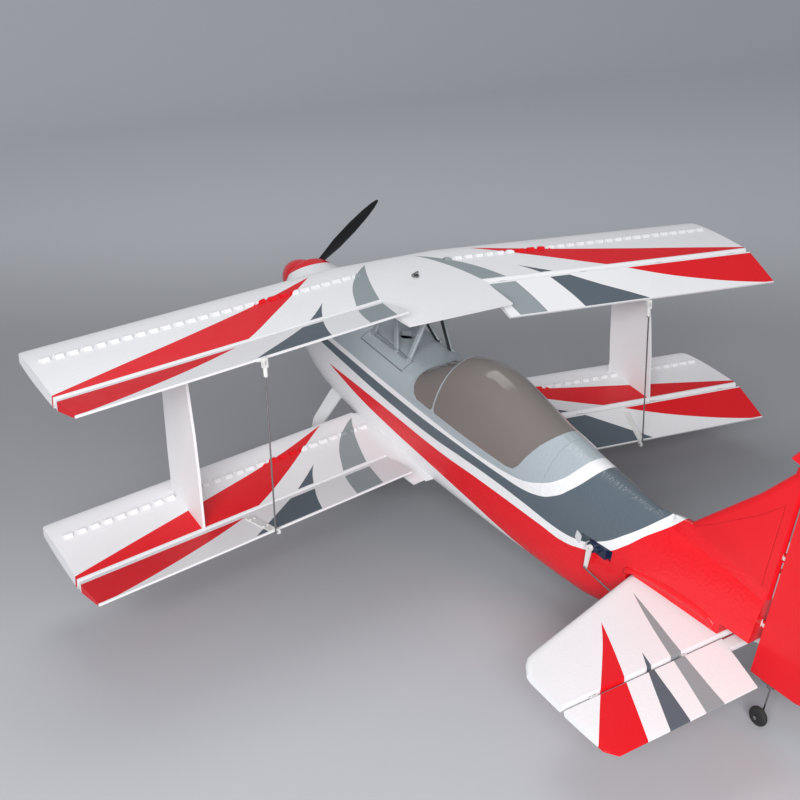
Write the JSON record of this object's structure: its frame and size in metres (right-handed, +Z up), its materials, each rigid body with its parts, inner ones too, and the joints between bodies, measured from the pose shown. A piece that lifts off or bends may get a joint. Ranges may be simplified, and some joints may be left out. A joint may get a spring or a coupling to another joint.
{
  "type": "radio controlled biplane",
  "caption": "Foam aerobatic model biplane on a tail wheel, with linked ailerons on both swept wings, a long canopy and an electric motor with propeller.",
  "frame": {"origin": "on the ground, below the middle of the bounding box, with the aircraft standing on its three wheels", "axes": "+X to the left wing tip, +Y aft to the tail, +Z up; the airframe is nose up by 9.2 degrees"},
  "size_m": [0.951, 0.9756, 0.3262],
  "materials": {
    "white_foam": "painted bead foam, satin",
    "red_foam": "painted bead foam, satin",
    "grey_hatch": "painted bead foam, satin",
    "smoked_pane": "smoked, glossy",
    "red_shell": "gloss paint",
    "strut_grey": "satin paint",
    "black_nylon": "matt",
    "motor_alloy": "turned",
    "steel": "bright wire",
    "ply": "bare plywood",
    "battery_wrap": "shrink wrap",
    "controller_wrap": "shrink wrap",
    "carbon": "bare carbon tube",
    "white_nylon": "moulded nylon",
    "servo_case": "moulded, dark blue",
    "painted_leg": "white paint on alloy strip",
    "foam_tyre": "black foam rubber"
  },
  "bodies": {
    "airframe": {"fuselage": "white_foam", "cowl": "white_foam", "motor_mount": "ply", "motor_stator": "motor_alloy", "battery": "battery_wrap", "battery_tray": "ply", "speed_controller": "controller_wrap", "receiver": "black_nylon", "upper_wing": "white_foam", "lower_wing_left": "white_foam", "lower_wing_right": "white_foam", "wing_spars": "carbon", "wing_bolt": "white_nylon", "cabane_left": "strut_grey", "cabane_right": "strut_grey", "interplane_strut_left": "white_foam", "interplane_strut_right": "white_foam", "hinges": "white_nylon", "tailplane": "white_foam", "fin": "red_foam", "aileron_servos": "servo_case", "tail_servos": "servo_case", "landing_gear": "painted_leg", "gear_saddle": "white_nylon", "wheel_pant_left": "white_foam", "wheel_pant_right": "white_foam", "wheel_axles": "steel"},
    "hatch": {"canopy_hatch": "grey_hatch", "canopy_glass": "smoked_pane"},
    "propeller": {"propeller": "black_nylon", "spinner_backplate": "black_nylon", "spinner_cone": "red_shell", "motor_bell": "motor_alloy", "prop_shaft": "steel"},
    "left_upper_aileron": {"upper_aileron_left": "white_foam", "upper_horn_left": "white_nylon"},
    "right_upper_aileron": {"upper_aileron_right": "white_foam", "upper_horn_right": "white_nylon"},
    "left_lower_aileron": {"lower_aileron_left": "white_foam", "lower_horns_left": "white_nylon"},
    "right_lower_aileron": {"lower_aileron_right": "white_foam", "lower_horns_right": "white_nylon"},
    "left_link_rod": {"link_rod_left": "steel"},
    "right_link_rod": {"link_rod_right": "steel"},
    "left_aileron_arm": {"aileron_arm_left": "white_nylon"},
    "right_aileron_arm": {"aileron_arm_right": "white_nylon"},
    "left_aileron_pushrod": {"aileron_pushrod_left": "steel"},
    "right_aileron_pushrod": {"aileron_pushrod_right": "steel"},
    "elevator": {"elevator": "white_foam", "elevator_horn": "white_nylon"},
    "elevator_arm": {"elevator_arm": "white_nylon"},
    "elevator_pushrod": {"elevator_pushrod": "steel"},
    "rudder": {"rudder": "red_foam", "rudder_horn": "white_nylon", "tail_wheel_strut": "steel"},
    "rudder_arm": {"rudder_arm": "white_nylon"},
    "rudder_pushrod": {"rudder_pushrod": "steel"},
    "tail_wheel": {"tail_wheel": "foam_tyre"},
    "left_wheel": {"main_wheel_left": "foam_tyre"},
    "right_wheel": {"main_wheel_right": "foam_tyre"}
  },
  "joints": [
    {"name": "left_aileron", "type": "hinge", "parent": "airframe", "child": "left_lower_aileron", "pos_m": [0.28033, -0.09874, 0.08742], "axis": [0.9897, 0.1416, -0.0229], "range_deg": [-52, 18]},
    {"name": "left_upper_aileron", "type": "hinge", "parent": "airframe", "child": "left_upper_aileron", "pos_m": [0.28033, -0.10706, 0.2781], "axis": [0.9897, 0.1416, -0.0229], "range_deg": [-52, 18]},
    {"name": "left_link", "type": "hinge", "parent": "left_lower_aileron", "child": "left_link_rod", "pos_m": [0.27192, -0.03861, 0.09583], "axis": [0.9897, 0.1416, -0.0229], "range_deg": [-18, 52]},
    {"name": "left_aileron_servo", "type": "hinge", "parent": "airframe", "child": "left_aileron_arm", "pos_m": [0.23034, -0.16798, 0.09711], "axis": [0.9897, 0.1416, -0.0229], "range_deg": [-52, 18]},
    {"name": "left_aileron_push", "type": "hinge", "parent": "left_aileron_arm", "child": "left_aileron_pushrod", "pos_m": [0.22976, -0.16612, 0.08325], "axis": [0.9897, 0.1416, -0.0229], "range_deg": [-18, 52]},
    {"name": "right_aileron", "type": "hinge", "parent": "airframe", "child": "right_lower_aileron", "pos_m": [-0.28033, -0.09874, 0.08742], "axis": [0.9897, -0.1416, 0.0229], "range_deg": [-14, 56]},
    {"name": "right_upper_aileron", "type": "hinge", "parent": "airframe", "child": "right_upper_aileron", "pos_m": [-0.28033, -0.10706, 0.2781], "axis": [0.9897, -0.1416, 0.0229], "range_deg": [-14, 56]},
    {"name": "right_link", "type": "hinge", "parent": "right_lower_aileron", "child": "right_link_rod", "pos_m": [-0.27212, -0.04635, 0.05668], "axis": [0.9897, -0.1416, 0.0229], "range_deg": [-56, 14]},
    {"name": "right_aileron_servo", "type": "hinge", "parent": "airframe", "child": "right_aileron_arm", "pos_m": [-0.23034, -0.16798, 0.09711], "axis": [0.9897, -0.1416, 0.0229], "range_deg": [-14, 56]},
    {"name": "right_aileron_push", "type": "hinge", "parent": "right_aileron_arm", "child": "right_aileron_pushrod", "pos_m": [-0.23106, -0.17497, 0.085], "axis": [0.9897, -0.1416, 0.0229], "range_deg": [-56, 14]},
    {"name": "elevator", "type": "hinge", "parent": "airframe", "child": "elevator", "pos_m": [0, 0.33909, 0.07465], "axis": [1, 0, 0], "range_deg": [-35, 35]},
    {"name": "elevator_servo", "type": "hinge", "parent": "airframe", "child": "elevator_arm", "pos_m": [0.038, 0.18645, 0.10798], "axis": [1, 0, 0], "range_deg": [-35, 35]},
    {"name": "elevator_push", "type": "hinge", "parent": "elevator_arm", "child": "elevator_pushrod", "pos_m": [0.038, 0.18277, 0.08528], "axis": [1, 0, 0], "range_deg": [-35, 35]},
    {"name": "rudder", "type": "hinge", "parent": "airframe", "child": "rudder", "pos_m": [0, 0.38663, 0.17433], "axis": [0, 0.1599, 0.9871], "range_deg": [-35, 35]},
    {"name": "rudder_servo", "type": "hinge", "parent": "airframe", "child": "rudder_arm", "pos_m": [-0.024, 0.18989, 0.12921], "axis": [0, 0.1599, 0.9871], "range_deg": [-35, 35]},
    {"name": "rudder_push", "type": "hinge", "parent": "rudder_arm", "child": "rudder_pushrod", "pos_m": [-0.047, 0.18989, 0.12921], "axis": [0, 0.1599, 0.9871], "range_deg": [-35, 35]},
    {"name": "tail_wheel", "type": "hinge", "parent": "rudder", "child": "tail_wheel", "pos_m": [0, 0.38231, 0.01], "axis": [1, 0, 0], "continuous": true},
    {"name": "left_wheel", "type": "hinge", "parent": "airframe", "child": "left_wheel", "pos_m": [0.09, -0.29857, 0.028], "axis": [1, 0, 0], "continuous": true},
    {"name": "right_wheel", "type": "hinge", "parent": "airframe", "child": "right_wheel", "pos_m": [-0.09, -0.29857, 0.028], "axis": [1, 0, 0], "continuous": true},
    {"name": "propeller", "type": "hinge", "parent": "airframe", "child": "propeller", "pos_m": [0, -0.44679, 0.22625], "axis": [0, -0.9871, 0.1599], "continuous": true},
    {"name": "hatch", "type": "slide", "parent": "airframe", "child": "hatch", "axis": [0, 0.1599, 0.9871], "range_m": [0, 0.045]}
  ],
  "couplings": [
    {"joint": "left_upper_aileron", "follows": "left_aileron", "ratio": 1},
    {"joint": "left_link", "follows": "left_aileron", "ratio": -1},
    {"joint": "left_aileron_servo", "follows": "left_aileron", "ratio": 1},
    {"joint": "left_aileron_push", "follows": "left_aileron", "ratio": -1},
    {"joint": "right_upper_aileron", "follows": "right_aileron", "ratio": 1},
    {"joint": "right_link", "follows": "right_aileron", "ratio": -1},
    {"joint": "right_aileron_servo", "follows": "right_aileron", "ratio": 1},
    {"joint": "right_aileron_push", "follows": "right_aileron", "ratio": -1},
    {"joint": "elevator_servo", "follows": "elevator", "ratio": 1},
    {"joint": "elevator_push", "follows": "elevator", "ratio": -1},
    {"joint": "rudder_servo", "follows": "rudder", "ratio": 1},
    {"joint": "rudder_push", "follows": "rudder", "ratio": -1}
  ]
}
